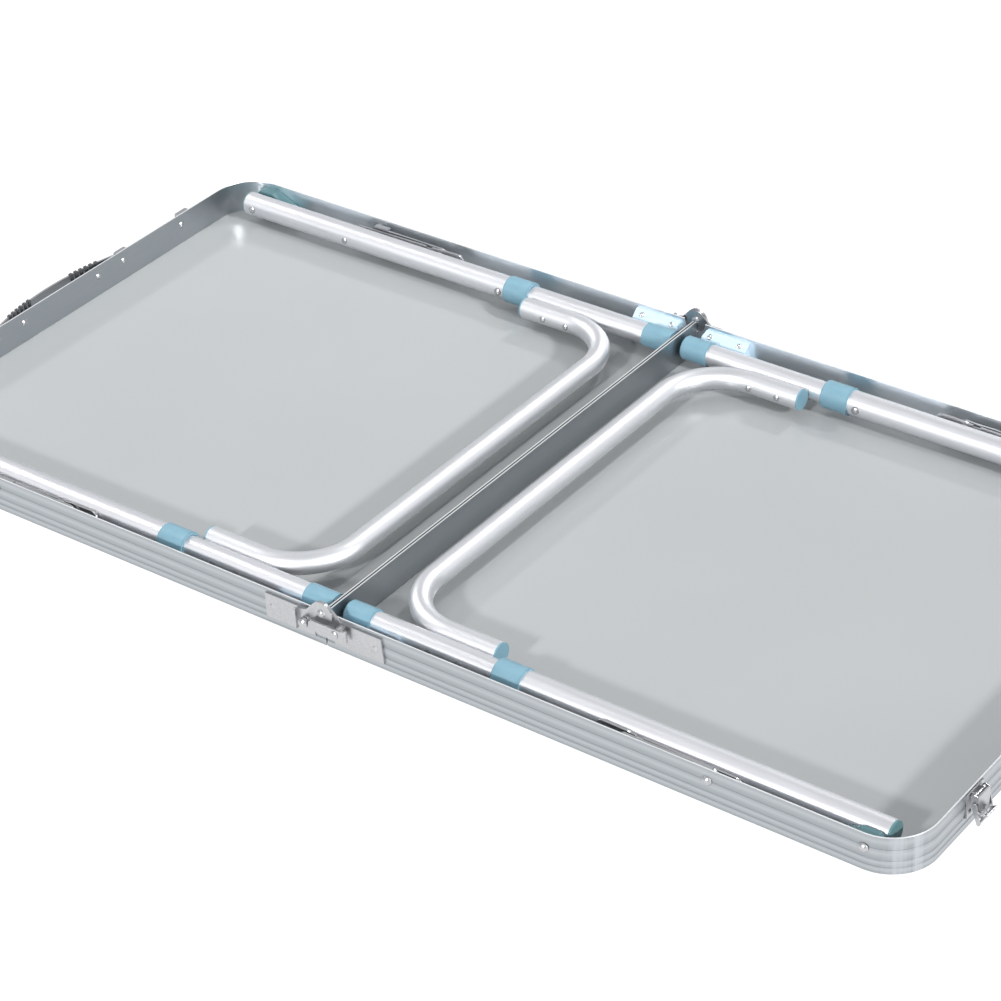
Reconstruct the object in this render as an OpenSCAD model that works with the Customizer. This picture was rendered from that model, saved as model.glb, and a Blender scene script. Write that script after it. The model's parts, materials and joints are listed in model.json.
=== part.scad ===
// Suitcase folding table, lying open on its tabletop with the legs folded
// into its two trays. +X is the long way, +Z is up, z = 0 is the tabletop
// side that lies on the ground. The fold hinge runs along Y at x = 0.

/* [Table] */
// Length of one half, from the fold to its outer end
half_len = 600; // [580:1:620]
// Width of the table
table_w = 600; // [590:1:610]
// Height of the tray wall
rim_h = 37.8; // [37.4:0.1:38]
// Outside radius of the tray corners
corner_r = 45; // [38:1:50]
// Thickness of the aluminium wall
wall_t = 1.7; // [1.5:0.1:2]
// Thickness of the tabletop panel
panel_t = 2.6; // [2:0.1:3]

/* [Legs] */
// Distance of the leg pivot from the fold
pivot_x = 556; // [550:1:558]
// Height of the leg axis over the ground
leg_z = 23; // [22:0.5:23.5]
// Distance of the leg axis from the long centre line
leg_y = 272; // [270:0.5:273]
// Outside diameter of the outer leg tube
outer_d = 25; // [24:0.1:25.4]
// Outside diameter of the inner leg tube and of the U tube
inner_d = 22; // [21.6:0.1:22]
// Distance of the U tube arms from the long centre line
arm_y = 249; // [248:0.5:249.5]
// Centre-line radius of the U tube bends
bend_r = 62; // [55:1:65]

/* [Hinge] */
// Radius of the round hinge ear
ear_r = 12; // [11:0.5:12]
// Thickness of the hinge leaf plates
leaf_t = 2; // [1.8:0.1:2]
// Length of the hook lever from its rivet to its tip
hook_len = 30; // [26:1:30]

/* [Braces] */
// Distance of the brace stud on the wall from the fold
stud_x = 406; // [404:1:408]
// Distance of the brace pin on the leg from the fold
brace_pin_x = 426; // [424:1:428]
// Distance of the folded brace knee from the fold
knee_x = 317.4; // [315:0.2:320]
// Width of the brace straps
strap_w = 13; // [11:0.5:14]

/* [Carrying] */
// How far the handle bows away from the end wall
handle_bow = 17.5; // [15:0.5:18]
// Distance of the two latches from the long centre line
latch_y = 198; // [180:1:210]

/* [Hidden] */
$fn = 48;

RIGHT = 0;
LEFT = 1;
half_w = table_w / 2;
wall_y = half_w - wall_t;
corner_x = half_len - corner_r;
corner_y = half_w - corner_r;
hinge_z = rim_h + 0.2;
slack = 0.05;          // gap round a rivet in its hole
panel_z = 1.05;
seam = 0.75;           // half of the gap between the two centre walls
lip_w = 12;
lip_t = 1;
groove_z = [7, 14, 25.5];
groove_w = 0.8;
groove_deep = 0.6;
crown = 0.3;           // bulge of each band of the wall
band_steps = 4;
ear_notch_r = ear_r + 0.4;
leaf_bolt_x = [57, 61];
leaf_bolt_z = 20;
block_screw_x = [17.5, 24.5];
block_far_screw_z = 20;
stud_z = 25;
rivet_r = 3;

// Leg sizes that differ between the right half and the left half
collar_x0 = [172, 184];
collar_x1 = [202, 214];
button_x = [212, 221];
foot_x1 = [36.5, 41];
base_x = [37, 54.5];
arm_end = [156.5, 176.5];
arm_rivets = [[102, 135], [119.5, 148]];
foot_x0 = 6.5;
tube_end = pivot_x + 12;
inner_end = 400;
outer_bore = 11.3;
inner_bore = 9.8;
arm_bore = 9.6;
collar_r = 14.2;
foot_r = 12.5;
lock_step = 120;
button_r = 3.8;
button_in = 11.35;
wall_rivet_y = [191, 97, 57];
wall_rivet_z = 25;

// Layers of the brace and of the hinge, as distances from the centre line
link_b_y = 286.4;
link_a_y = 289.6;
link_t = 2;
ear_y = half_w + leaf_t + 0.2;
hook_y = half_w + 7.8;
hook_x = 18;
hook_z = 25;
knob_x = 18.5;
knob_z = 23.5;

// Latch axes in the plane across the right end wall
lever_axis = [half_len + 5, 33];
bail_axis = [half_len + 6.5, 26];
bail_rest = [half_len + 11, 9.5];

// ---------- helpers ----------
module on_side(side) {
  if (side == RIGHT) children();
  else mirror([1, 0, 0]) children();
}

// Draws its children at the back and, mirrored, at the front.
module front_back() {
  children();
  mirror([0, 1, 0]) children();
}

module at_front(front) {
  if (front) mirror([0, 1, 0]) children();
  else children();
}

// A round bar along Y from y0 to y1.
module bar_y(x, z, r, y0, y1) {
  translate([x, y0, z]) rotate([-90, 0, 0]) cylinder(h = y1 - y0, r = r);
}

// A round bar along X from x0 to x1.
module bar_x(y, z, r, x0, x1) {
  translate([x0, y, z]) rotate([0, 90, 0]) cylinder(h = x1 - x0, r = r);
}

// A plate of thickness t in the XZ plane, from y0 outwards.
module plate_y(y0, t) {
  translate([0, y0 + t, 0]) rotate([90, 0, 0]) linear_extrude(t) children();
}

// A low domed rivet head, flat side down.
module dome(r, h) {
  ball = (r * r + h * h) / (2 * h);
  intersection() {
    translate([0, 0, h - ball]) sphere(ball);
    cylinder(h = h, r = r);
  }
}

module dome_out_y(x, z, r, h, y) {
  translate([x, y, z]) rotate([-90, 0, 0]) dome(r, h);
}

module dome_in_y(x, z, r, h, y) {
  translate([x, y, z]) rotate([90, 0, 0]) dome(r, h);
}

module pipe_x(y, z, r_out, r_in, x0, x1) {
  difference() {
    bar_x(y, z, r_out, x0, x1);
    bar_x(y, z, r_in, x0 - 1, x1 + 1);
  }
}

// Point where a line from p touches a circle at c, on the side given by s.
function tangent_point(c, r, p, s) =
  let (v = p - c, a = atan2(v[1], v[0]) + s * acos(r / norm(v)))
  c + r * [cos(a), sin(a)];

// ---------- trays ----------
// One convex band of the wall, from z0 to z1.
function band(z0, z1) = [for (i = [0 : band_steps])
  let (t = 2 * i / band_steps - 1)
  [corner_r - crown * t * t, z0 + (z1 - z0) * i / band_steps]];

function groove(z) = [
  [corner_r - groove_deep, z - groove_w / 4],
  [corner_r - groove_deep, z + groove_w / 4]];

// Cross-section of the wall, as distance from the corner centre and height.
module wall_section() {
  inner = corner_r - wall_t;
  g = groove_w / 2;
  polygon(concat(
    [[corner_r - lip_w, 0]],
    band(0, groove_z[0] - g), groove(groove_z[0]),
    band(groove_z[0] + g, groove_z[1] - g), groove(groove_z[1]),
    band(groove_z[1] + g, groove_z[2] - g), groove(groove_z[2]),
    band(groove_z[2] + g, rim_h - 0.4),
    [[corner_r - 0.8, rim_h], [inner + 0.3, rim_h], [inner, rim_h - 0.4],
     [inner, lip_t], [corner_r - lip_w, lip_t]]));
}

// The bent wall of one half, before its holes.
module bent_wall() {
  front_back() {
    translate([seam, corner_y, 0]) rotate([90, 0, 90])
      linear_extrude(corner_x - seam) wall_section();
    translate([corner_x, corner_y, 0]) rotate_extrude(angle = 90) wall_section();
  }
  translate([corner_x, corner_y, 0]) rotate([90, 0, 0])
    linear_extrude(2 * corner_y) wall_section();
}

module rail(side) {
  difference() {
    bent_wall();
    front_back() {
      bar_y(0, hinge_z, ear_notch_r, wall_y - 2, half_w + 2);
      bar_y(pivot_x, leg_z, rivet_r + slack, wall_y - 1, half_w + 1);
      bar_y(stud_x, stud_z, rivet_r + slack, wall_y - 1, half_w + 1);
      bar_y(leaf_bolt_x[side], leaf_bolt_z, 2 + slack, wall_y - 1, half_w + 1);
      translate([0, wall_y - lip_w, -1]) cube([2.35, lip_w, lip_t + 1.1]);
    }
    if (side == RIGHT) latch_rivet_places() cylinder(h = 4, r = 1.5 + slack, center = true);
    else wall_rivet_places() cylinder(h = 4, r = 2 + slack, center = true);
  }
}

// Flat outline of a tray with its two outer corners rounded to radius r.
module tray_outline(x0, inset) {
  r = corner_r - inset;
  w = half_w - inset;
  union() {
    translate([x0, -w]) square([corner_x - x0, 2 * w]);
    translate([corner_x - 1, -corner_y]) square([r + 1, 2 * corner_y]);
    for (s = [-1, 1]) translate([corner_x, s * corner_y]) circle(r, $fn = 96);
  }
}

module panel() {
  translate([0, 0, panel_z]) linear_extrude(panel_t)
    tray_outline(seam + 1.6, wall_t + 0.1);
}

module centre_wall() {
  reach = wall_y - 0.1;
  translate([seam, -reach, lip_t + 0.05])
    cube([1.5, 2 * reach, rim_h - lip_t - 0.05]);
  translate([seam, lip_w - half_w + 0.1, 0])
    cube([8, 2 * (half_w - lip_w - 0.1), lip_t]);
  translate([seam, lip_w - half_w + 0.1, 0])
    cube([1.5, 2 * (half_w - lip_w - 0.1), lip_t + 0.1]);
}

// ---------- fold hinge ----------
axis_2d = [0, hinge_z];

// The right leaf: its ear lies against the wall.
module leaf_right_shape() {
  shoulder = [20, 34];
  circle_at(axis_2d, ear_r - 1);
  polygon([[12, 8], [67, 8], [65, 34], shoulder,
    tangent_point(axis_2d, ear_r - 1, shoulder, 1), axis_2d, [4, 27.76]]);
}

module circle_at(c, r) {
  translate(c) circle(r);
}

module hinge_leaves_right() {
  front_back() difference() {
    plate_y(half_w, leaf_t) leaf_right_shape();
    bar_y(0, hinge_z, 2.5 + slack, half_w - 1, half_w + 4);
    bar_y(leaf_bolt_x[RIGHT], leaf_bolt_z, 2 + slack, half_w - 1, half_w + 4);
    bar_y(hook_x, hook_z, 2.5 + slack, half_w - 1, half_w + 4);
  }
}

// The left leaf, drawn on the +X side: a plate, the outer ear over the
// right leaf's ear, and a thumb tab.
module hinge_leaves_left() {
  shoulder = [18, 36];
  front_back() difference() {
    union() {
      plate_y(half_w, leaf_t) polygon([[11, 8], [68, 8], [68, 34], [14, 34], [11, 31]]);
      plate_y(half_w + leaf_t, leaf_t + 0.2) {
        circle_at(axis_2d, ear_r);
        polygon([[30, 20], [30, 33], shoulder,
          tangent_point(axis_2d, ear_r, shoulder, 1), axis_2d, [5, 27.1]]);
      }
      translate([27.8, half_w + leaf_t, 13]) cube([2.2, 6, 20]);
      bar_x(half_w + leaf_t + 4.2, 33, 1.8, 27.8, 30);
    }
    bar_y(0, hinge_z, ear_r - 0.5, half_w - 1, ear_y);
    bar_y(0, hinge_z, 2.5 + slack, half_w - 1, ear_y + 4);
    bar_y(leaf_bolt_x[LEFT], leaf_bolt_z, 2 + slack, half_w - 1, half_w + 6);
    bar_y(knob_x, knob_z, 2.5 + slack, half_w - 1, half_w + 6);
    bar_y(knob_x, knob_z, 3.4 + slack, half_w + leaf_t, half_w + 6);
  }
}

module hinge_pins() {
  front_back() {
    bar_y(0, hinge_z, 2.5, half_w - 1, ear_y + leaf_t);
    dome_out_y(0, hinge_z, 4.5, 2.8, ear_y + leaf_t);
    dome_in_y(0, hinge_z, 4.2, 1.2, half_w - 0.1);
  }
}

// Plastic block that backs a leaf inside the wall; its top slopes inwards.
module hinge_block(x0, x1) {
  back = wall_y - 0.1;
  translate([x0, 0, 0]) rotate([90, 0, 90]) linear_extrude(x1 - x0)
    polygon([[back, 6], [back, 33], [back - 2.5, 33], [288, 26], [287.4, 25], [287.4, 6]]);
}

module hinge_blocks(side) {
  inner_x = [13, 15][side];
  outer_x = [66, 70][side];
  front_back() difference() {
    hinge_block(inner_x, outer_x);
    bar_y(0, hinge_z, [16, 19][side], 280, half_w);
    bar_y(leaf_bolt_x[side], leaf_bolt_z, 2 + slack, 280, half_w);
    bar_y(block_screw_x[side], block_far_screw_z, 2 + slack, 280, half_w);
  }
}

module hinge_screws(side) {
  x_far = leaf_bolt_x[side];
  x_near = block_screw_x[side];
  front_back() {
    bar_y(x_far, leaf_bolt_z, 2, 287, half_w + leaf_t);
    dome_out_y(x_far, leaf_bolt_z, 4, 1.2, half_w + leaf_t);
    dome_in_y(x_far, leaf_bolt_z, 3.6, 1.6, 287.3);
    bar_y(x_near, block_far_screw_z, 2, 287, wall_y - 0.2);
    dome_in_y(x_near, block_far_screw_z, 3.6, 1.6, 287.3);
  }
}

// ---------- fold lock ----------
module hook_studs() {
  front_back() {
    bar_y(-knob_x, knob_z, 2.5, half_w + 0.05, half_w + leaf_t + 0.2);
    bar_y(-knob_x, knob_z, 5, half_w + 2 * leaf_t + 0.3, half_w + 5.4);
    bar_y(-knob_x, knob_z, 3.4, half_w + leaf_t + 0.1, half_w + 8);
    bar_y(-knob_x, knob_z, 5, half_w + 7, half_w + 10);
    dome_out_y(-knob_x, knob_z, 5, 2.6, half_w + 10);
  }
}

module hook_rivets() {
  front_back() {
    bar_y(hook_x, hook_z, 2.5, half_w, hook_y + leaf_t + 0.4);
    bar_y(hook_x, hook_z, 5, half_w + leaf_t, hook_y - 0.3);
    dome_out_y(hook_x, hook_z, 4, 1.6, hook_y + leaf_t + 0.3);
  }
}

// A flat bar with a hooked tip at one end and a rolled flange at the other.
module hook_lever(front) {
  tip = hook_x - hook_len;
  flange_x = hook_x + 6;
  at_front(front) difference() {
    union() {
      plate_y(hook_y, leaf_t)
        polygon([[tip, 27], [tip + 3, 31], [flange_x, 31], [flange_x, 18.5],
          [tip + 10, 18.5], [tip + 8.5, 20.5], [tip + 2, 20.5], [tip, 22]]);
      intersection() {
        translate([flange_x, hook_y - 3, 18.5]) difference() {
          cylinder(h = 12.5, r = 5);
          translate([0, 0, -1]) cylinder(h = 15, r = 3);
        }
        translate([flange_x, hook_y - 3, 10]) cube([10, 10, 30]);
      }
    }
    bar_y(hook_x, hook_z, 2.5 + slack, hook_y - 1, hook_y + 4);
  }
}

// ---------- leg pivots on the trays ----------
module pivot_blocks() {
  top = 33;
  front_back() difference() {
    intersection() {
      plate_y(outer_edge() + 0.5, 15)
        polygon([[pivot_x - 36, 12], [pivot_x - 36, 20], [pivot_x - 8, top],
          [pivot_x + 9, top], [pivot_x + 17, 24], [pivot_x + 17, 12]]);
      linear_extrude(60) tray_outline(400, wall_t + 0.1);
    }
    bar_y(pivot_x, leg_z, rivet_r + slack, 280, half_w);
  }
}

function outer_edge() = leg_y + outer_d / 2;
function inner_edge() = leg_y - outer_d / 2;

// Leg pivot pins through wall, block and tube, and the studs of the braces.
module leg_rivets() {
  front_back() {
    bar_y(pivot_x, leg_z, rivet_r, inner_edge() - 0.3, half_w + 0.5);
    dome_out_y(pivot_x, leg_z, 5, 3, half_w + 0.05);
    dome_in_y(pivot_x, leg_z, 4, 1.6, inner_edge() - 0.2);
    bar_y(stud_x, stud_z, rivet_r, link_a_y + 0.2, half_w + 0.5);
    bar_y(stud_x, stud_z, 5, link_a_y + link_t + 0.3, wall_y - 0.1);
    dome_out_y(stud_x, stud_z, 5, 3, half_w + 0.05);
  }
}

// ---------- latches ----------
latch_rivet_z = 17;
module latch_rivet_places() {
  for (y = [latch_y - 9, latch_y + 9]) for (s = [-1, 1])
    translate([half_len - 1, s * y, latch_rivet_z]) rotate([0, 90, 0]) children();
}

module latch_bases() {
  front_back() difference() {
    union() {
      translate([half_len + 0.05, latch_y - 14, 12]) cube([1.4, 28, 24]);
      for (y = [latch_y - 7, latch_y + 5.5]) plate_y(y, 1.5) {
        circle_at(lever_axis, 2.7);
        polygon([[half_len + 1.4, 28], [half_len + 5, 28.5], [half_len + 7, 31],
          lever_axis + [0, 2.2], [half_len + 1.4, 35.2]]);
      }
    }
    translate([half_len - 1, 0, 0]) for (y = [latch_y - 9, latch_y + 9])
      translate([0, y, latch_rivet_z]) rotate([0, 90, 0]) cylinder(h = 4, r = 1.5 + slack);
    bar_y(lever_axis[0], lever_axis[1], 1.5 + slack, latch_y - 9, latch_y + 9);
  }
}

module latch_rivets() {
  front_back() {
    bar_y(lever_axis[0], lever_axis[1], 1.5, latch_y - 10.3, latch_y + 10.3);
    for (y = [latch_y - 10.4, latch_y + 10.05])
      bar_y(lever_axis[0], lever_axis[1], 2.3, y, y + 0.35);
    for (y = [latch_y - 9, latch_y + 9]) translate([half_len, y, latch_rivet_z]) {
      rotate([0, -90, 0]) cylinder(h = wall_t + 0.5, r = 1.5);
      translate([-wall_t - 0.05, 0, 0]) rotate([0, -90, 0]) dome(3.5, 1.3);
      rotate([0, 90, 0]) cylinder(h = 1.8, r = 1.5);
      translate([1.5, 0, 0]) rotate([0, 90, 0]) dome(3, 1);
    }
  }
}

// Lever of a toggle latch: a plate, two cheeks and a curled finger lip.
module latch_lever(front) {
  plate_x = half_len + 8;
  at_front(front) difference() {
    union() {
      plate_y(latch_y - 10, 20)
        polygon([[plate_x, 14], [plate_x + 1.5, 14], [plate_x + 1.5, 35], [plate_x, 35]]);
      plate_y(latch_y - 8, 16)
        polygon([[plate_x, 15], [plate_x + 1.4, 12.8], [plate_x + 3.5, 13],
          [half_len + 17.2, 17], [half_len + 17.5, 18.6], [half_len + 16.6, 19],
          [plate_x + 3, 14.8], [plate_x + 1.5, 16]]);
      for (y = [latch_y - 10, latch_y + 8.8]) plate_y(y, 1.2) {
        circle_at(lever_axis, 3);
        circle_at(bail_axis, 2.6);
        polygon([[half_len + 2, 33], [half_len + 4.2, 25], [half_len + 8.5, 24],
          [half_len + 8.5, 34.8], [half_len + 5, 36]]);
      }
      for (y = [latch_y - 12.1, latch_y + 9])
        bar_y(bail_axis[0], bail_axis[1], 1.3, y, y + 3.1);
    }
    bar_y(lever_axis[0], lever_axis[1], 1.5 + slack, latch_y - 20, latch_y + 20);
  }
}

// Bail of a toggle latch: two arms and a cross bar that hooks the catch.
module latch_hook(front) {
  arm = 1.3;
  v = bail_rest - bail_axis;
  side_step = 1.6 * [-v[1], v[0]] / norm(v);
  at_front(front) {
    difference() {
      for (y = [latch_y - 12.1, latch_y + 10.8]) plate_y(y, arm) {
        circle_at(bail_axis, 2.6);
        circle_at(bail_rest, 1.8);
        polygon([bail_axis + 1.5 * side_step, bail_axis - 1.5 * side_step,
          bail_rest - side_step, bail_rest + side_step]);
      }
      bar_y(bail_axis[0], bail_axis[1], 1.3 + slack, latch_y - 20, latch_y + 20);
    }
    bar_y(bail_rest[0], bail_rest[1], 1.2, latch_y - 11.5, latch_y + 11.5);
  }
}

// Catch on the left end wall, drawn on the +X side.
module catch_plates() {
  top = 2 * hinge_z - 39.6;
  front_back() difference() {
    union() {
      translate([half_len + 0.05, 187, 22]) cube([1.2, 20, top - 22]);
      translate([half_len + 0.05, 189.5, top - 1.2]) cube([6.15, 17, 1.2]);
      translate([half_len + 5, 189.5, top - 4]) cube([1.2, 17, 4]);
    }
    translate([half_len - 1, wall_rivet_y[0], wall_rivet_z]) rotate([0, 90, 0])
      cylinder(h = 4, r = 2 + slack);
  }
}

// ---------- carrying handle on the left end wall, drawn on the +X side ----------
module wall_rivet_places() {
  for (y = wall_rivet_y) for (s = [-1, 1])
    translate([half_len - 1, s * y, wall_rivet_z]) rotate([0, 90, 0]) children();
}

module wall_rivets() {
  for (y = wall_rivet_y) for (s = [-1, 1]) translate([half_len, s * y, wall_rivet_z]) {
    rotate([0, -90, 0]) cylinder(h = wall_t + 0.5, r = 2);
    translate([-wall_t - 0.05, 0, 0]) rotate([0, -90, 0]) dome(4, 1.8);
    rotate([0, 90, 0]) cylinder(h = 1.6, r = 2);
    translate([1.3, 0, 0]) rotate([0, 90, 0]) dome(3.6, 1.2);
  }
}

half_chord = 99;
strap_rise = handle_bow - 2.6;
strap_r = (half_chord * half_chord + strap_rise * strap_rise) / (2 * strap_rise);
strap_cx = half_len + handle_bow - strap_r;
strap_angle = asin(half_chord / strap_r);

// A piece of the bowed strap between two angles, with its own section.
module strap_piece(a0, a1, grow, z0, z1) {
  translate([strap_cx, 0, 0]) rotate([0, 0, a0]) rotate_extrude(angle = a1 - a0, $fn = 360)
    translate([strap_r - 2.4 - grow, z0]) square([2.4 + 2 * grow, z1 - z0]);
}

// The strap; its forked ends straddle the outer rivets of the brackets.
module handle_strap() {
  difference() {
    strap_piece(-strap_angle, strap_angle, 0, 16, 34);
    for (s = [-1, 1]) bar_x(s * wall_rivet_y[1], wall_rivet_z, 4, half_len - 2, half_len + 8);
  }
}

module handle_grips() {
  pitch = 1.15;
  for (s = [-1, 1]) for (i = [0 : 5]) {
    mid = s * (5.6 + i * pitch);
    difference() {
      strap_piece(mid - 0.3, mid + 0.3, 0.8, 15, 35);
      strap_piece(mid - 1, mid + 1, slack, 16 - slack, 34 + slack);
    }
  }
}

module handle_brackets() {
  for (s = [0, 1]) mirror([0, s, 0]) difference() {
    union() {
      translate([half_len + 0.05, 49, 17]) cube([1.2, 57, 16]);
      translate([half_len + 0.05, 101.5, 14]) cube([5.6, 4.5, 22]);
      translate([half_len + 4.6, 90, 14]) cube([1.2, 16, 22]);
      for (z = [14, 34.6]) translate([half_len + 0.05, 90, z]) cube([5.6, 16, 1.4]);
    }
    for (y = [wall_rivet_y[1], wall_rivet_y[2]])
      translate([half_len - 1, y, wall_rivet_z]) rotate([0, 90, 0])
        cylinder(h = 4, r = 2 + slack);
    strap_piece(-strap_angle - 1, strap_angle + 1, 0.1, 15.9, 34.1);
  }
}

// ---------- legs ----------
module outer_tubes(side) {
  front_back() difference() {
    pipe_x(leg_y, leg_z, outer_d / 2, outer_bore, collar_x0[side] + 3, tube_end);
    bar_y(pivot_x, leg_z, rivet_r + slack, 250, 290);
    bar_y(brace_pin_x, leg_z, 2.5 + slack, 250, 290);
    bar_y(button_x[side], leg_z, button_r + 0.3, 250, leg_y);
  }
}

// Plug and disc that close the pivot end of the outer tube.
module tube_caps() {
  front_back() {
    bar_x(leg_y, leg_z, 12.2, tube_end, tube_end + 1.6);
    bar_x(leg_y, leg_z, outer_bore, tube_end - 6, tube_end);
    bar_x(leg_y, leg_z, 11.4, tube_end + 1.6, tube_end + 2);
  }
}

module collars(side) {
  x0 = collar_x0[side];
  x1 = collar_x1[side];
  front_back() difference() {
    union() {
      bar_x(leg_y, leg_z, collar_r, x0 + 0.8, x1 - 0.8);
      bar_x(leg_y, leg_z, collar_r - 0.5, x0, x1);
    }
    bar_x(leg_y, leg_z, outer_bore, x0 - 1, x1 + 1);
    bar_x(leg_y, leg_z, outer_d / 2, x0 + 3, x1 + 1);
  }
}

// Rivets that join the leg links of the braces to the outer tubes.
module brace_pins() {
  front_back() {
    bar_y(brace_pin_x, leg_z, 2.5, inner_edge() - 0.3, link_b_y + link_t);
    bar_y(brace_pin_x, leg_z, 4, outer_edge() + 0.1, link_b_y - 0.3);
    bar_y(brace_pin_x, leg_z, 4.6, link_b_y + link_t + 0.2, link_b_y + link_t + 0.9);
    bar_y(brace_pin_x, leg_z, 2.5, inner_edge(), link_b_y + link_t + 0.4);
    dome_in_y(brace_pin_x, leg_z, 3.6, 1.4, inner_edge() - 0.2);
  }
}

module inner_tubes(side) {
  front_back() difference() {
    pipe_x(leg_y, leg_z, inner_d / 2, inner_bore, foot_x0 + 6.6, inner_end);
    for (x = [button_x[side], button_x[side] + lock_step])
      bar_y(x, leg_z, button_r + 0.5, 250, leg_y);
    for (x = arm_rivets[side]) bar_y(x, leg_z, 2 + slack, 250, 290);
  }
}

// U-shaped cross tube that joins the two inner tubes of one half.
module u_tube(side) {
  x0 = base_x[side];
  bend_x = x0 + bend_r;
  bend_y = arm_y - bend_r;
  difference() {
    union() {
      front_back() {
        pipe_x(arm_y, leg_z, inner_d / 2, arm_bore, bend_x, arm_end[side]);
        translate([bend_x, bend_y, leg_z]) rotate([0, 0, 90]) rotate_extrude(angle = 90)
          translate([bend_r, 0]) difference() {
            circle(inner_d / 2);
            circle(arm_bore);
          }
      }
      difference() {
        bar_y(x0, leg_z, inner_d / 2, -bend_y, bend_y);
        bar_y(x0, leg_z, arm_bore, -bend_y - 1, bend_y + 1);
      }
    }
    for (x = arm_rivets[side]) for (s = [-1, 1])
      translate([x, s * arm_y, leg_z]) rotate([90, 0, 0])
        cylinder(h = 30, r = 2 + slack, center = true);
  }
}

module u_rivets(side) {
  front_back() for (x = arm_rivets[side]) {
    bar_y(x, leg_z, 2, arm_y - inner_d / 2 - 0.3, leg_y + inner_d / 2 + 0.2);
    dome_in_y(x, leg_z, 3.4, 1.3, arm_y - inner_d / 2 - 0.2);
    dome_out_y(x, leg_z, 3.4, 0.9, leg_y + inner_d / 2 + 0.1);
    bar_y(x, leg_z, 3, arm_y + inner_d / 2 + 0.05, leg_y - inner_d / 2 - 0.05);
  }
}

module u_caps(side) {
  front_back() {
    bar_x(arm_y, leg_z, inner_d / 2, arm_end[side], arm_end[side] + 1.6);
    bar_x(arm_y, leg_z, arm_bore, arm_end[side] - 8, arm_end[side]);
  }
}

// Plastic cups over the ground ends of the inner tubes.
module feet(side) {
  x1 = foot_x1[side];
  front_back() difference() {
    union() {
      bar_x(leg_y, leg_z, foot_r - 1, foot_x0, x1);
      bar_x(leg_y, leg_z, foot_r, foot_x0 + 1.5, x1 - 0.6);
    }
    bar_x(leg_y, leg_z, inner_d / 2 + slack, foot_x0 + 6.5, x1 + 1);
  }
}

// Hairpin springs inside the inner tubes, behind the snap buttons.
module button_springs(side) {
  turn_x = button_x[side] + 40;
  mid_y = leg_y + 0.65;
  front_back() {
    for (y = [mid_y - 8.85, mid_y + 8.25])
      translate([button_x[side] - 8, y, leg_z - 2]) cube([48, 0.6, 4]);
    translate([turn_x, mid_y, leg_z - 2]) rotate([0, 0, -90])
      rotate_extrude(angle = 180) translate([8.25, 0]) square([0.6, 4]);
  }
}

// Snap button that locks the length of one leg.
module snap_button(side, front) {
  at_front(front) translate([button_x[side], leg_y - button_in, leg_z]) rotate([90, 0, 0]) {
    cylinder(h = 2.2, r = button_r);
    translate([0, 0, 2.2]) dome(button_r, 1.3);
  }
}

// ---------- braces ----------
pin_g = [brace_pin_x, leg_z];
knee = [knee_x, stud_z];
stud_f = [stud_x, stud_z];
tail = knee + 24 * (knee - pin_g) / norm(knee - pin_g);

// A strap with round ends between two points; its ends are a little wider.
module strap(p, q, w) {
  v = (q - p) / norm(q - p);
  n = (w / 2 - 0.1) * [-v[1], v[0]];
  circle_at(p, w / 2);
  circle_at(q, w / 2);
  polygon([p + n, q + n, q - n, p - n]);
}

// Links that turn on the studs of the wall, with a raised tab near the stud.
module brace_wall_links() {
  front_back() {
    difference() {
      plate_y(link_a_y, link_t) strap(stud_f, knee, strap_w);
      bar_y(stud_x, stud_z, rivet_r + slack, 280, half_w);
      bar_y(knee_x, stud_z, 2.5 + slack, 280, half_w);
    }
    translate([stud_x - 17, link_a_y, stud_z + 5]) cube([18, link_t, 3]);
    translate([stud_x - 17, link_a_y, stud_z + 6.8]) cube([18, 5.2, 1.2]);
    bar_y(knee_x, stud_z, 2.5, link_a_y + 0.2, link_a_y + link_t);
    bar_y(knee_x, stud_z, 4.2, link_a_y + link_t, link_a_y + link_t + 1);
  }
}

// Links that turn on the pins of the legs, with a tail past the knee.
module brace_leg_links() {
  front_back() {
    difference() {
      plate_y(link_b_y, link_t) {
        strap(pin_g, knee, strap_w);
        strap(knee, tail, strap_w + 1.4);
      }
      bar_y(brace_pin_x, leg_z, 2.5 + slack, 280, half_w);
      bar_y(knee_x, stud_z, 2.5 + slack, 280, half_w);
      plate_y(link_b_y - 1, 4) polygon([[knee_x + 9.6, 29.4], [knee_x + 17.6, 29.4],
        [knee_x + 17.6, 40], [knee_x + 9.6, 40]]);
    }
    bar_y(knee_x, stud_z, 2.5, link_b_y, link_b_y + link_t - 0.2);
    bar_y(knee_x, stud_z, 4.2, link_b_y - 1, link_b_y);
  }
}

// ---------- one line for each piece ----------
alloy = [0.80, 0.83, 0.86];
tube_alloy = [0.90, 0.91, 0.93];
board = [0.79, 0.81, 0.81];
steel = [0.72, 0.73, 0.76];
blue = [0.47, 0.66, 0.76];
teal = [0.46, 0.65, 0.66];

color(alloy) rail(RIGHT);  // rail_right
color(board) panel();  // panel_right
color(alloy) centre_wall();  // centre_wall_right
color(steel) hinge_leaves_right();
color(blue) hinge_blocks(RIGHT);  // hinge_blocks_right
color(steel) hinge_screws(RIGHT);  // hinge_screws_right
color(teal) pivot_blocks();  // pivot_blocks_right
color(steel) leg_rivets();  // leg_rivets_right
color(steel) hook_rivets();
color(steel) latch_bases();
color(steel) latch_rivets();
color(alloy) on_side(LEFT) rail(LEFT);  // rail_left
color(board) on_side(LEFT) panel();  // panel_left
color(alloy) on_side(LEFT) centre_wall();  // centre_wall_left
color(steel) on_side(LEFT) hinge_leaves_left();
color(blue) on_side(LEFT) hinge_blocks(LEFT);  // hinge_blocks_left
color(steel) on_side(LEFT) hinge_screws(LEFT);  // hinge_screws_left
color(teal) on_side(LEFT) pivot_blocks();  // pivot_blocks_left
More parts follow.
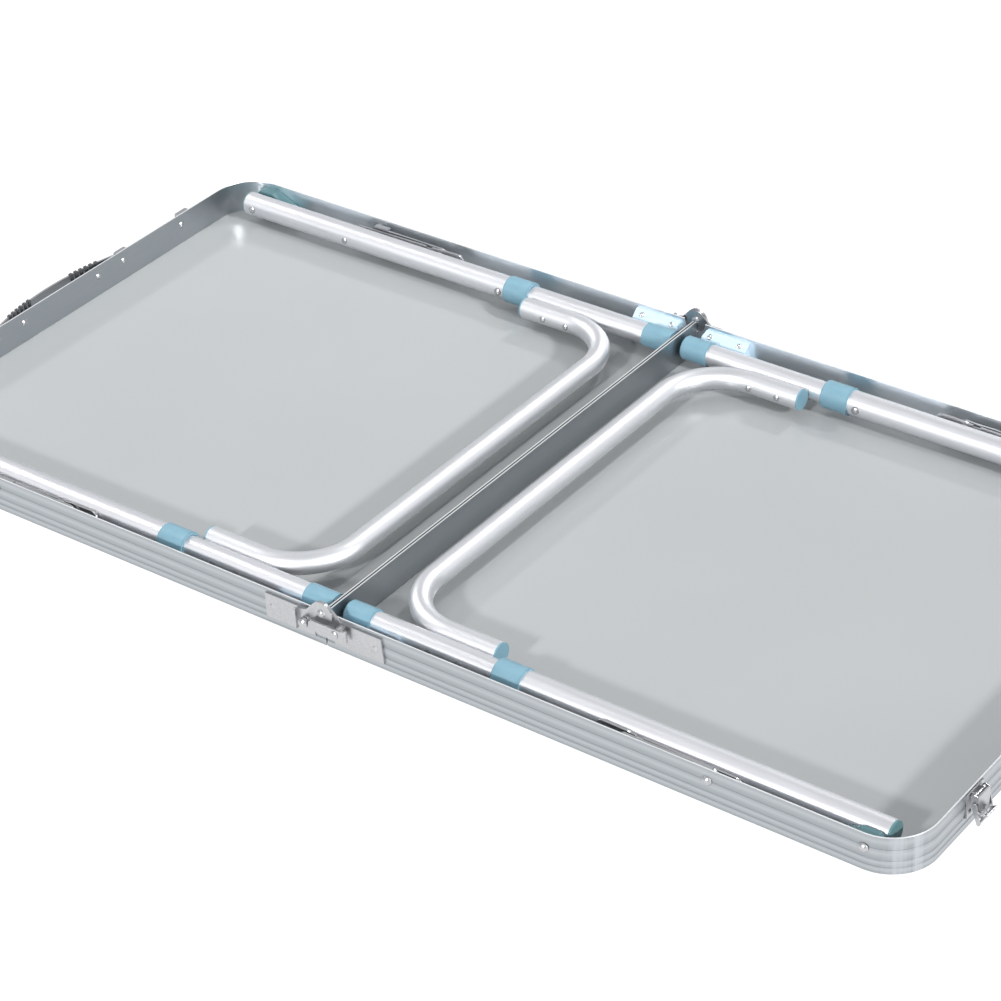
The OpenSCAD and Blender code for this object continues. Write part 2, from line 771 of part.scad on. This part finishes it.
color(steel) on_side(LEFT) leg_rivets();  // leg_rivets_left
color(steel) hinge_pins();
color(steel) hook_studs();
color(steel) on_side(LEFT) catch_plates();
color(steel) on_side(LEFT) wall_rivets();
color(steel) on_side(LEFT) handle_strap();
color(steel) on_side(LEFT) handle_brackets();
color("dimgray") on_side(LEFT) handle_grips();
color(tube_alloy) outer_tubes(RIGHT);  // outer_tubes_right
color(teal) tube_caps();  // tube_caps_right
color(blue) collars(RIGHT);  // collars_right
color(steel) brace_pins();  // brace_pins_right
color(tube_alloy) inner_tubes(RIGHT);  // inner_tubes_right
color(tube_alloy) u_tube(RIGHT);  // u_tube_right
color(blue) feet(RIGHT);  // feet_right
color(steel) u_rivets(RIGHT);  // u_rivets_right
color(blue) u_caps(RIGHT);  // u_caps_right
color(steel) button_springs(RIGHT);  // button_springs_right
color(tube_alloy) on_side(LEFT) outer_tubes(LEFT);  // outer_tubes_left
color(teal) on_side(LEFT) tube_caps();  // tube_caps_left
color(blue) on_side(LEFT) collars(LEFT);  // collars_left
color(steel) on_side(LEFT) brace_pins();  // brace_pins_left
color(tube_alloy) on_side(LEFT) inner_tubes(LEFT);  // inner_tubes_left
color(tube_alloy) on_side(LEFT) u_tube(LEFT);  // u_tube_left
color(blue) on_side(LEFT) feet(LEFT);  // feet_left
color(steel) on_side(LEFT) u_rivets(LEFT);  // u_rivets_left
color(blue) on_side(LEFT) u_caps(LEFT);  // u_caps_left
color(steel) on_side(LEFT) button_springs(LEFT);  // button_springs_left
color(steel) brace_wall_links();  // brace_wall_links_right
color(steel) brace_leg_links();  // brace_leg_links_right
color(steel) on_side(LEFT) brace_wall_links();  // brace_wall_links_left
color(steel) on_side(LEFT) brace_leg_links();  // brace_leg_links_left
color(steel) snap_button(RIGHT, true);  // button_front_right
color(steel) snap_button(RIGHT, false);  // button_back_right
color(steel) on_side(LEFT) snap_button(LEFT, true);  // button_front_left
color(steel) on_side(LEFT) snap_button(LEFT, false);  // button_back_left
color(steel) hook_lever(true);  // hook_lever_front
color(steel) hook_lever(false);  // hook_lever_back
color(steel) latch_lever(true);  // latch_lever_front
color(steel) latch_lever(false);  // latch_lever_back
color(steel) latch_hook(true);  // latch_hook_front
color(steel) latch_hook(false);  // latch_hook_back
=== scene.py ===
import json
import math

import bmesh
import bpy
from mathutils import Matrix, Vector


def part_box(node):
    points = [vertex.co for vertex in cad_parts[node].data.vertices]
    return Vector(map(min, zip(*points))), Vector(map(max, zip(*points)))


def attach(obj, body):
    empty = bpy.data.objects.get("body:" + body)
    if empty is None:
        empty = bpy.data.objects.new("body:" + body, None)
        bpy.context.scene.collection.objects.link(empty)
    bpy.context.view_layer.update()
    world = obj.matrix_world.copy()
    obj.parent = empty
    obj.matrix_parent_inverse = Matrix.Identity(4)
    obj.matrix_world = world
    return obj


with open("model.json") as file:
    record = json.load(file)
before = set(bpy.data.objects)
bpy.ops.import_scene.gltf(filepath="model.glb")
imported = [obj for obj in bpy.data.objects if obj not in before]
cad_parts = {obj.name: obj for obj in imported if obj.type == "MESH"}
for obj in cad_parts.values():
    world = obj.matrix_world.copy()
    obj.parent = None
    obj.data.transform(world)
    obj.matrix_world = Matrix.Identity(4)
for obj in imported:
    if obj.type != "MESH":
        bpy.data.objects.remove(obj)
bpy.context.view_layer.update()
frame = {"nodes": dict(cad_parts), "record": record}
MM = 0.001
SIDES = {"right": 1, "left": -1}

# The tray wall, in metres and in the CAD frame
WALL_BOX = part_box("rail_right")
RIM_HEIGHT = WALL_BOX[1][2]
GROOVE_HEIGHTS = (7 * MM, 14 * MM, 25.5 * MM)
EDGE_HEIGHT = RIM_HEIGHT - 1.5 * MM
# Where the painted reflection on the inside of the back wall begins, and the distance it fades in
# over
REFLECTION_FROM = WALL_BOX[1][1] - 50 * MM
REFLECTION_BLEND = 42 * MM
# Where the painted reflection streaks at the bent corners lie, across and along the table
BEND_X = (562 * MM, 575 * MM)
BEND_Y = (262 * MM, 275 * MM)

RIM_HIGHLIGHT_COLOUR = (0.95, 0.965, 0.98)  # painted highlight along the top edge of the wall
FLANK_SHADE_COLOUR = (0.32, 0.345, 0.365)  # outer faces: painted shade on the flanks of the pressed bands
CROWN_HIGHLIGHT_COLOUR = (0.45, 0.475, 0.50)  # painted highlight on the crowns of the outer bands
STREAK_REFLECTION_COLOUR = (0.50, 0.53, 0.56)  # painted reflection streaks at the bent corners
BACK_REFLECTION_COLOUR = (0.88, 0.93, 0.97)  # painted reflection brightening the inside of the back wall
# How much of the painted crown highlight shows over the painted flank shade, by the share of a
# band's height, and at the wall's two ends
BAND_LEVELS = ((0.10, 0.12), (0.35, 0.45), (0.62, 1.0), (0.86, 0.45))
END_LEVEL = 0.3

# Directions that grain is stretched along
ALONG_WALLS = (1.2, 1.2, 90.0)
ALONG_X = (1.0, 60.0, 60.0)
EVEN = (1.0, 1.0, 1.0)
UPRIGHT = (1.0, 1.0, 0.04)

# Looks of CAD nodes that differ from their material slot, by the start of the node's name
LOOKS = {"u_tube": "u_tube", "hinge_blocks": "pale_block", "pivot_blocks": "dark_block"}
# Width of the rounded edges, by the start of the node's name
ROUNDED = {"hinge_blocks": 1.2 * MM, "pivot_blocks": 0.8 * MM}
WELD_REACH = 0.004 * MM

# Cross-slotted screw heads on the hinge blocks
HEAD_RADIUS = 3.1 * MM
HEAD_HEIGHT = 1.5 * MM
HEAD_RINGS = 6
HEAD_STEPS = 24
SLOT_HALF_WIDTH = 0.16  # shares of the head's radius and height
SLOT_REACH = 0.75
SLOT_DEPTH = 0.45
HEAD_SHARES = {"near": 0.17, "far": 0.83}  # place along a block's length
SLOPE_IN = 6.1 * MM  # middle of a block's sloping top, from its outer face and from its top
SLOPE_DOWN = 3.5 * MM
SLOPE_LEAN = 1.1

# Stage, light and camera
FLOOR_RADIUS = 14.0
WORLD_STRENGTH = 0.75
SUN_ANGLE = math.radians(5)
# Softboxes: name, compass angle the light comes from, height angle, share of the light
SOFTBOXES = [
    ("front", -90, 28, 0.40),
    ("right", -8, 27, 0.54),
    ("left", 176, 36, 0.20),
    ("back", 88, 38, 0.26),
]
OVERHEAD_PLACE = (-0.75, 0.35, 1.5)
OVERHEAD_SIZE = 1.3
OVERHEAD_POWER = 7
CAMERA_AZIMUTH = math.radians(37.939)
CAMERA_ELEVATION = math.radians(33.775)
CAMERA_ROLL = math.radians(-2.923)
CAMERA_DISTANCE = 3.0334
CAMERA_TARGET = Vector((-0.00773, -0.02695, 0.0))
CAMERA_LENS = 114.29


# ---------- materials ----------
class Nodes:
    """A small helper that adds and links shader nodes of one material."""

    def __init__(self, name):
        self.material = bpy.data.materials.new(name)
        self.material.use_nodes = True
        self.tree = self.material.node_tree
        self.shader = self.tree.nodes["Principled BSDF"]
        coordinates = self.add("ShaderNodeTexCoord")
        self.place = coordinates.outputs["Object"]
        self.facing = coordinates.outputs["Normal"]

    def add(self, kind, **values):
        node = self.tree.nodes.new(kind)
        for key, value in values.items():
            setattr(node, key, value)
        return node

    def link(self, source, target):
        self.tree.links.new(source, target)

    def stretched(self, scale):
        """The place on the object, stretched so that grain runs along a direction."""
        node = self.add("ShaderNodeMapping")
        node.inputs["Scale"].default_value = scale
        self.link(self.place, node.inputs["Vector"])
        return node.outputs["Vector"]

    def noise(self, vector, scale, detail, roughness):
        node = self.add("ShaderNodeTexNoise")
        node.inputs["Scale"].default_value = scale
        node.inputs["Detail"].default_value = detail
        node.inputs["Roughness"].default_value = roughness
        self.link(vector, node.inputs["Vector"])
        return node.outputs["Fac"]

    def spread(self, value, low, high, low_in=0.3, high_in=0.7):
        """Maps a noise value to a range of plain numbers."""
        node = self.add("ShaderNodeMapRange")
        node.inputs["From Min"].default_value = low_in
        node.inputs["From Max"].default_value = high_in
        node.inputs["To Min"].default_value = low
        node.inputs["To Max"].default_value = high
        self.link(value, node.inputs["Value"])
        return node.outputs["Result"]

    def mix_colour(self, factor, first, second):
        node = self.add("ShaderNodeMix", data_type="RGBA")
        for socket, value in ((node.inputs[6], first), (node.inputs[7], second)):
            if isinstance(value, tuple):
                socket.default_value = (*value, 1.0)
            else:
                self.link(value, socket)
        self.link(factor, node.inputs[0])
        return node.outputs[2]

    def sum_of(self, a, b, weight):
        node = self.add("ShaderNodeMath", operation="MULTIPLY_ADD")
        self.link(b, node.inputs[0])
        node.inputs[1].default_value = weight
        self.link(a, node.inputs[2])
        return node.outputs["Value"]

    def along(self, source, direction):
        """How far a vector socket reaches along a fixed direction."""
        node = self.add("ShaderNodeVectorMath", operation="DOT_PRODUCT")
        self.link(source, node.inputs[0])
        node.inputs[1].default_value = direction
        return node.outputs["Value"]

    def product(self, a, b):
        node = self.add("ShaderNodeMath", operation="MULTIPLY")
        self.link(a, node.inputs[0])
        self.link(b, node.inputs[1])
        return node.outputs["Value"]

    def mask(self, value, low_in, high_in):
        """0 up to one value, 1 from another, and even in between."""
        return self.spread(value, 0.0, 1.0, low_in, high_in)

    def distance_along(self, direction):
        """How far the place is from the middle of the table along a direction, either way."""
        node = self.add("ShaderNodeMath", operation="ABSOLUTE")
        self.link(self.along(self.place, direction), node.inputs[0])
        return node.outputs["Value"]

    def top_edge(self, height):
        """1 on faces that look up and lie above a height, and 0 elsewhere."""
        up = self.mask(self.along(self.facing, (0, 0, 1)), 0.35, 0.6)
        above = self.mask(self.along(self.place, (0, 0, 1)), height - MM, height)
        return self.product(up, above)

    def back_wall_reflection(self, y):
        """Rises to 1 on faces that look to the front and lie beyond a distance to the back, where
        the painted reflection on the back wall goes.
        """
        front = self.mask(self.along(self.facing, (0, -1, 0)), 0.0, 1.0)
        far = self.mask(self.along(self.place, (0, 1, 0)), y, y + REFLECTION_BLEND)
        return self.product(front, far)

    def outward(self):
        """1 on faces that look away from the middle of the table, 0 on those that look in."""
        node = self.add("ShaderNodeVectorMath", operation="DOT_PRODUCT")
        self.link(self.facing, node.inputs[0])
        self.link(self.place, node.inputs[1])
        return self.mask(node.outputs["Value"], 0.1, 0.2)

    def corner_reflection_streaks(self):
        """Painted upright reflection streaks where the wall is bent round the tray's corners."""
        bend = self.product(self.mask(self.distance_along((1, 0, 0)), *BEND_X),
                            self.mask(self.distance_along((0, 1, 0)), *BEND_Y))
        streaks = self.noise(self.stretched(UPRIGHT), 95.0, 3.0, 0.6)
        return self.product(bend, self.mask(streaks, 0.42, 0.62))

    def bands(self):
        """Painted highlights on the crowns and painted shade on the flanks of the pressed bands
        round the wall, by height.
        """
        ramp = self.add("ShaderNodeValToRGB")
        stops = ramp.color_ramp.elements
        stops[0].position = 0.0
        stops[1].position = 1.0
        edges = [0.0] + [height / RIM_HEIGHT for height in GROOVE_HEIGHTS] + [1.0]
        for low, high in zip(edges, edges[1:]):
            for share, level in BAND_LEVELS:
                stops.new(low + (high - low) * share).color = (level, level, level, 1)
        for stop in (stops[0], stops[-1]):
            stop.color = (END_LEVEL, END_LEVEL, END_LEVEL, 1)
        self.link(self.mask(self.along(self.place, (0, 0, 1)), 0.0, RIM_HEIGHT), ramp.inputs[0])
        return ramp.outputs["Color"]

    def bump(self, height, strength, distance):
        node = self.add("ShaderNodeBump")
        node.inputs["Strength"].default_value = strength
        node.inputs["Distance"].default_value = distance
        self.link(height, node.inputs["Height"])
        self.link(node.outputs["Normal"], self.shader.inputs["Normal"])

    def set(self, **values):
        for key, value in values.items():
            self.shader.inputs[key.replace("_", " ")].default_value = value


def metal(name, light, dark, rough, grain, grain_scale, bump_height, speckle=0.25, wall=False):
    """Drawn or plated metal: grain lines along one direction, fine speckle, cloudy roughness.
    A wall also has painted light: a painted highlight along its top edge, painted highlights on
    the crowns of its outer bands over painted shade on their flanks, painted reflection streaks at
    its bent corners and a painted reflection on the inside of its back wall."""
    m = Nodes(name)
    lines = m.noise(m.stretched(grain), grain_scale, 5.0, 0.7)
    specks = m.noise(m.place, 900.0, 3.0, 0.7)
    clouds = m.noise(m.place, 9.0, 4.0, 0.55)
    tone = m.sum_of(m.sum_of(lines, specks, speckle), clouds, 0.35)
    centre = (1 + speckle + 0.35) / 2
    colour = m.mix_colour(m.mask(tone, centre - 0.28, centre + 0.28), dark, light)
    if wall:
        # outer faces take the painted shade of the band flanks
        colour = m.mix_colour(m.outward(), colour, FLANK_SHADE_COLOUR)
        # painted highlights on the crowns of the outer bands
        colour = m.mix_colour(m.product(m.outward(), m.bands()), colour, CROWN_HIGHLIGHT_COLOUR)
        # painted reflection streaks at the bent corners of the outer faces
        colour = m.mix_colour(m.product(m.outward(), m.corner_reflection_streaks()), colour, STREAK_REFLECTION_COLOUR)
        # painted reflection brightening the inside of the back wall
        colour = m.mix_colour(m.back_wall_reflection(REFLECTION_FROM), colour, BACK_REFLECTION_COLOUR)
        # painted highlight along the top edge of the wall
        colour = m.mix_colour(m.top_edge(EDGE_HEIGHT), colour, RIM_HIGHLIGHT_COLOUR)
    m.link(colour, m.shader.inputs["Base Color"])
    m.link(m.spread(tone, rough + 0.07, rough - 0.05, centre - 0.3, centre + 0.3),
           m.shader.inputs["Roughness"])
    m.bump(m.sum_of(lines, specks, 0.5), 0.5, bump_height)
    m.set(Metallic=1.0)
    return m.material


def moulded(name, light, dark, rough, coat=0.0):
    """Injection-moulded plastic: spark-eroded grain, faint flow clouds, worn sheen."""
    m = Nodes(name)
    grain = m.noise(m.place, 1600.0, 2.0, 0.5)
    clouds = m.noise(m.stretched((1.0, 1.0, 2.5)), 60.0, 5.0, 0.6)
    tone = m.sum_of(clouds, grain, 0.3)
    m.link(m.mix_colour(m.mask(tone, 0.4, 0.9), dark, light), m.shader.inputs["Base Color"])
    m.link(m.spread(clouds, rough - 0.06, rough + 0.08), m.shader.inputs["Roughness"])
    m.bump(grain, 0.35, 0.00008)
    m.set(Coat_Weight=coat, Coat_Roughness=0.15)
    return m.material


def laminate(name):
    """Pale grey laminate of the tabletop board: faint orange peel, tiny flecks, soft clouds."""
    m = Nodes(name)
    flecks = m.noise(m.place, 1400.0, 2.0, 0.6)
    clouds = m.noise(m.place, 3.5, 3.0, 0.5)
    peel = m.noise(m.place, 240.0, 2.0, 0.4)
    tone = m.sum_of(clouds, flecks, 0.4)
    m.link(m.mix_colour(m.mask(tone, 0.35, 1.05), (0.252, 0.263, 0.267), (0.271, 0.282, 0.285)),
           m.shader.inputs["Base Color"])
    m.link(m.spread(clouds, 0.22, 0.27), m.shader.inputs["Roughness"])
    m.bump(m.sum_of(peel, flecks, 0.3), 0.25, 0.00001)
    m.set(IOR=1.5)
    return m.material


def make_materials():
    """All materials by name: the record's slots, and the special looks in LOOKS."""
    return {
        "rail_aluminium": metal("rail_aluminium", (0.48, 0.505, 0.53), (0.41, 0.44, 0.465), 0.33,
                                ALONG_WALLS, 22.0, 0.00001, wall=True),
        "panel_board": laminate("panel_board"),
        "tube_aluminium": metal("tube_aluminium", (0.83, 0.835, 0.855), (0.76, 0.765, 0.795), 0.38,
                                ALONG_X, 14.0, 0.000005),
        "u_tube": metal("u_tube", (0.70, 0.71, 0.73), (0.64, 0.65, 0.67), 0.45,
                        EVEN, 500.0, 0.000005),
        "zinc_steel": metal("zinc_steel", (0.56, 0.565, 0.575), (0.41, 0.415, 0.43), 0.30,
                            EVEN, 420.0, 0.00001, 0.4),
        "blue_plastic": moulded("blue_plastic", (0.14, 0.255, 0.32), (0.115, 0.22, 0.275), 0.38),
        "pale_block": moulded("pale_block", (0.42, 0.54, 0.62), (0.36, 0.48, 0.57), 0.34, 0.3),
        "teal_plastic": moulded("teal_plastic", (0.085, 0.175, 0.19), (0.065, 0.15, 0.165), 0.40),
        "dark_block": moulded("dark_block", (0.05, 0.115, 0.13), (0.038, 0.095, 0.108), 0.5),
        "grey_plastic": moulded("grey_plastic", (0.055, 0.058, 0.062), (0.03, 0.032, 0.035), 0.5),
    }


MATERIALS = make_materials()
SLOT_OF = {s["node"]: s["material_slot"] for s in frame["record"]["subparts"]}


def dress(obj, material_name):
    """Gives an object one material of its own in place of what it came with."""
    obj.data.materials.clear()
    obj.data.materials.append(MATERIALS[material_name])


def soften(obj, width):
    """Joins split corners and rounds sharp edges, so that they catch a line of light."""
    weld = obj.modifiers.new("weld", "WELD")
    weld.merge_threshold = WELD_REACH
    bevel = obj.modifiers.new("bevel", "BEVEL")
    bevel.width = width
    bevel.segments = 2
    bevel.limit_method = "ANGLE"
    bevel.angle_limit = math.radians(38)
    bevel.use_clamp_overlap = True
    bevel.harden_normals = True


def by_start(table, name, default):
    """The entry of a table whose key is the start of a name."""
    found = [value for start, value in table.items() if name.startswith(start)]
    return found[0] if found else default


def dress_cad_nodes():
    """Gives every CAD node its material, and rounds the edges of those in ROUNDED."""
    for name, obj in frame["nodes"].items():
        dress(obj, by_start(LOOKS, name, SLOT_OF[name]))
        width = by_start(ROUNDED, name, None)
        if width:
            soften(obj, width)


dress_cad_nodes()


# ---------- screw heads on the hinge blocks ----------
def domed_head(name, place, direction):
    """A pan head with a cross slot, its flat side on a place and its top along a direction."""
    bm = bmesh.new()
    for ring in range(HEAD_RINGS + 1):
        lift = math.sin(math.pi / 2 * ring / HEAD_RINGS)
        reach = max(math.cos(math.pi / 2 * ring / HEAD_RINGS), 0.02)
        for step in range(HEAD_STEPS):
            turn = 2 * math.pi * step / HEAD_STEPS
            near_slot = min(abs(math.sin(turn)), abs(math.cos(turn))) * reach < SLOT_HALF_WIDTH
            sunk = SLOT_DEPTH if near_slot and reach < SLOT_REACH else 0.0
            bm.verts.new((HEAD_RADIUS * reach * math.cos(turn),
                          HEAD_RADIUS * reach * math.sin(turn), HEAD_HEIGHT * (lift - sunk)))
    bm.verts.ensure_lookup_table()
    for ring in range(HEAD_RINGS):
        for step in range(HEAD_STEPS):
            a = ring * HEAD_STEPS + step
            b = ring * HEAD_STEPS + (step + 1) % HEAD_STEPS
            corners = (a, b, b + HEAD_STEPS, a + HEAD_STEPS)
            bm.faces.new([bm.verts[corner] for corner in corners])
    bm.faces.new([bm.verts[HEAD_RINGS * HEAD_STEPS + step] for step in range(HEAD_STEPS)])
    bm.faces.new([bm.verts[step] for step in reversed(range(HEAD_STEPS))])
    turn = Vector(direction).to_track_quat("Z", "Y").to_matrix().to_4x4()
    bm.transform(Matrix.Translation(place) @ turn)
    mesh = bpy.data.meshes.new(name)
    bm.to_mesh(mesh)
    bm.free()
    mesh.shade_smooth()
    head = bpy.data.objects.new(name, mesh)
    bpy.context.collection.objects.link(head)
    return head


def block_screw_heads():
    """Two heads on the sloping top of each block, over the screws that hold it."""
    for side, sign in SIDES.items():
        low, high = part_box("hinge_blocks_" + side)
        near, far = sorted((abs(low.x), abs(high.x)))
        for end, way in (("front", -1), ("back", 1)):
            slope = Vector((0, way * (high.y - SLOPE_IN), high.z - SLOPE_DOWN))
            for label, share in HEAD_SHARES.items():
                place = slope + Vector((sign * (near + share * (far - near)), 0, 0))
                name = "block_screw_%s_%s_%s" % (label, end, side)
                head = domed_head(name, place, (0, -way, SLOPE_LEAN))
                head.data.materials.append(MATERIALS["zinc_steel"])
                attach(head, "tray_" + side)


block_screw_heads()


# ---------- stage, light and camera ----------
def make_floor():
    """A wide plain floor with a glow of its own, so that it reads as white paper."""
    mesh = bpy.data.meshes.new("floor")
    bm = bmesh.new()
    bmesh.ops.create_circle(bm, cap_ends=True, radius=FLOOR_RADIUS, segments=96)
    bm.to_mesh(mesh)
    bm.free()
    floor = bpy.data.objects.new("floor", mesh)
    bpy.context.collection.objects.link(floor)
    m = Nodes("floor_paper")
    fibres = m.noise(m.place, 300.0, 3.0, 0.6)
    m.link(m.mix_colour(m.mask(fibres, 0.3, 0.7), (0.15, 0.15, 0.15), (0.17, 0.17, 0.17)),
           m.shader.inputs["Base Color"])
    m.set(Roughness=0.9, Emission_Color=(1, 1, 1, 1), Emission_Strength=0.86)
    floor.data.materials.append(m.material)


def make_world():
    """A soft surround: dim and cool at the horizon, brightest part way up, dimmer overhead."""
    world = bpy.data.worlds.new("studio")
    bpy.context.scene.world = world
    world.use_nodes = True
    tree = world.node_tree
    back = tree.nodes["Background"]
    where = tree.nodes.new("ShaderNodeTexCoord")
    split = tree.nodes.new("ShaderNodeSeparateXYZ")
    tree.links.new(where.outputs["Generated"], split.inputs[0])
    ramp = tree.nodes.new("ShaderNodeValToRGB")
    stops = ramp.color_ramp.elements
    stops[0].position = 0.0
    stops[0].color = (0.42, 0.45, 0.48, 1)
    stops[1].position = 0.5
    stops[1].color = (1.0, 1.01, 1.03, 1)
    stops.new(0.85).color = (0.72, 0.73, 0.75, 1)
    tree.links.new(split.outputs["Z"], ramp.inputs[0])
    tree.links.new(ramp.outputs["Color"], back.inputs["Color"])
    back.inputs["Strength"].default_value = WORLD_STRENGTH


def make_softboxes():
    """Four large far lights; the tray walls throw a soft band of shade from each."""
    for name, compass, height, share in SOFTBOXES:
        data = bpy.data.lights.new(name, "SUN")
        data.angle = SUN_ANGLE
        data.energy = share * math.pi / math.sin(math.radians(height))
        light = bpy.data.objects.new(name, data)
        bpy.context.collection.objects.link(light)
        turn, lift = math.radians(compass), math.radians(height)
        come_from = Vector((math.cos(turn) * math.cos(lift), math.sin(turn) * math.cos(lift),
                            math.sin(lift)))
        light.rotation_euler = (-come_from).to_track_quat("-Z", "Y").to_euler()


def make_overhead():
    """A soft lamp over the left half, so that the light falls off towards the right end."""
    data = bpy.data.lights.new("overhead", "AREA")
    data.shape = "DISK"
    data.size = OVERHEAD_SIZE
    data.energy = OVERHEAD_POWER
    lamp = bpy.data.objects.new("overhead", data)
    bpy.context.collection.objects.link(lamp)
    lamp.location = OVERHEAD_PLACE
    lamp.visible_glossy = False


def make_camera():
    """The camera looks from the front right, a little rolled, through a long lens."""
    level = math.cos(CAMERA_ELEVATION)
    back = Vector((math.sin(CAMERA_AZIMUTH) * level, -math.cos(CAMERA_AZIMUTH) * level,
                   math.sin(CAMERA_ELEVATION)))
    right = (-back).cross(Vector((0, 0, 1))).normalized()
    up = right.cross(-back)
    right_rolled = right * math.cos(CAMERA_ROLL) + up * math.sin(CAMERA_ROLL)
    up_rolled = up * math.cos(CAMERA_ROLL) - right * math.sin(CAMERA_ROLL)
    data = bpy.data.cameras.new("camera")
    data.lens = CAMERA_LENS
    data.sensor_width = 36.0
    data.clip_end = 100.0
    camera = bpy.data.objects.new("camera", data)
    bpy.context.collection.objects.link(camera)
    place = CAMERA_TARGET + back * CAMERA_DISTANCE
    turn = Matrix((right_rolled, up_rolled, back)).transposed().to_4x4()
    camera.matrix_world = Matrix.Translation(place) @ turn
    bpy.context.scene.camera = camera


make_floor()
make_world()
make_softboxes()
make_overhead()
make_camera()
bpy.context.scene.view_settings.view_transform = "Standard"
